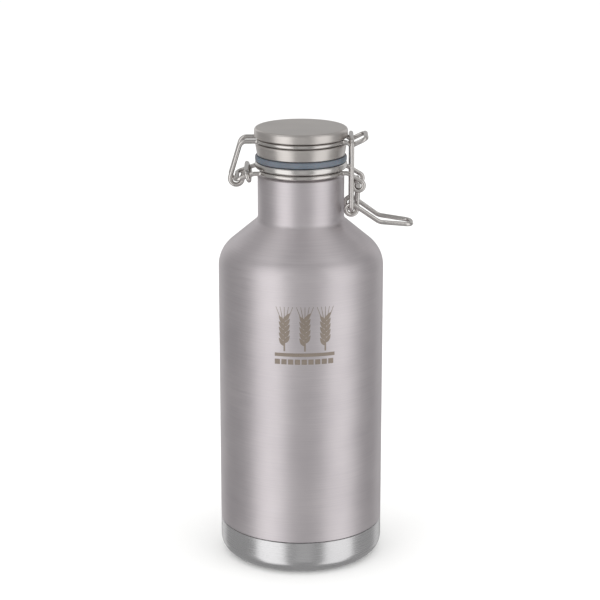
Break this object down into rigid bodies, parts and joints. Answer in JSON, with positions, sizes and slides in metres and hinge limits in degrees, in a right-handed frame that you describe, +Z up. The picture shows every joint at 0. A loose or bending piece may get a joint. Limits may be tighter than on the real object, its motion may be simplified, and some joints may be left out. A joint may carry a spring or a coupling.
{
  "type": "growler",
  "caption": "Double-wall steel bottle with a round shoulder, a straight neck and a swing-top lid clamped by a wire bail latch.",
  "frame": {"origin": "centre of the base, on the surface that the bottle stands on", "axes": "+Z up along the bottle, -X towards the lid's hinge, +X towards the latch"},
  "size_m": [0.1107, 0.094, 0.252],
  "materials": {
    "body_steel": "fine circumferential brushing",
    "base_steel": "fine circumferential brushing",
    "lid_steel": "satin, brushed",
    "rim_steel": "polished turned ring",
    "flask_steel": "electropolished",
    "wire_steel": "drawn wire, polished",
    "getter_metal": "sintered pill",
    "solder": "glass solder",
    "core_plastic": "moulded",
    "silicone": "moulded silicone, slightly translucent"
  },
  "bodies": {
    "bottle": {"outer_shell": "body_steel", "base_cup": "base_steel", "inner_flask": "flask_steel", "inner_base": "flask_steel", "neck_collar": "rim_steel", "vacuum_seal_bead": "solder", "vacuum_port_cover": "base_steel", "getter": "getter_metal", "getter_clip": "flask_steel", "neck_wire": "wire_steel", "hinge_keeper": "wire_steel"},
    "lid": {"lid_top_cap": "lid_steel", "lid_lower_cup": "lid_steel", "lid_core": "core_plastic", "lid_bottom_pan": "flask_steel", "lid_gasket": "silicone", "lid_wire": "wire_steel"},
    "lever": {"lever_wire": "wire_steel"},
    "bail": {"bail_wire": "wire_steel"}
  },
  "joints": [
    {"name": "lever_pivot", "type": "hinge", "parent": "bottle", "child": "lever", "pos_m": [0.0322, 0, 0.2205], "axis": [0, -1, 0], "range_deg": [0, 110]},
    {"name": "lid_hinge", "type": "hinge", "parent": "bottle", "child": "lid", "pos_m": [-0.0363, 0, 0.2239], "axis": [0, -1, 0], "range_deg": [0, 110]},
    {"name": "bail_pivot", "type": "hinge", "parent": "lever", "child": "bail", "pos_m": [0.0284, 0, 0.2064], "axis": [0, -1, 0], "range_deg": [-260, 0]}
  ],
  "couplings": [
    {"joint": "lid_hinge", "follows": "lever_pivot", "ratio": 1},
    {"joint": "bail_pivot", "follows": "lever_pivot", "ratio": -2.36}
  ]
}
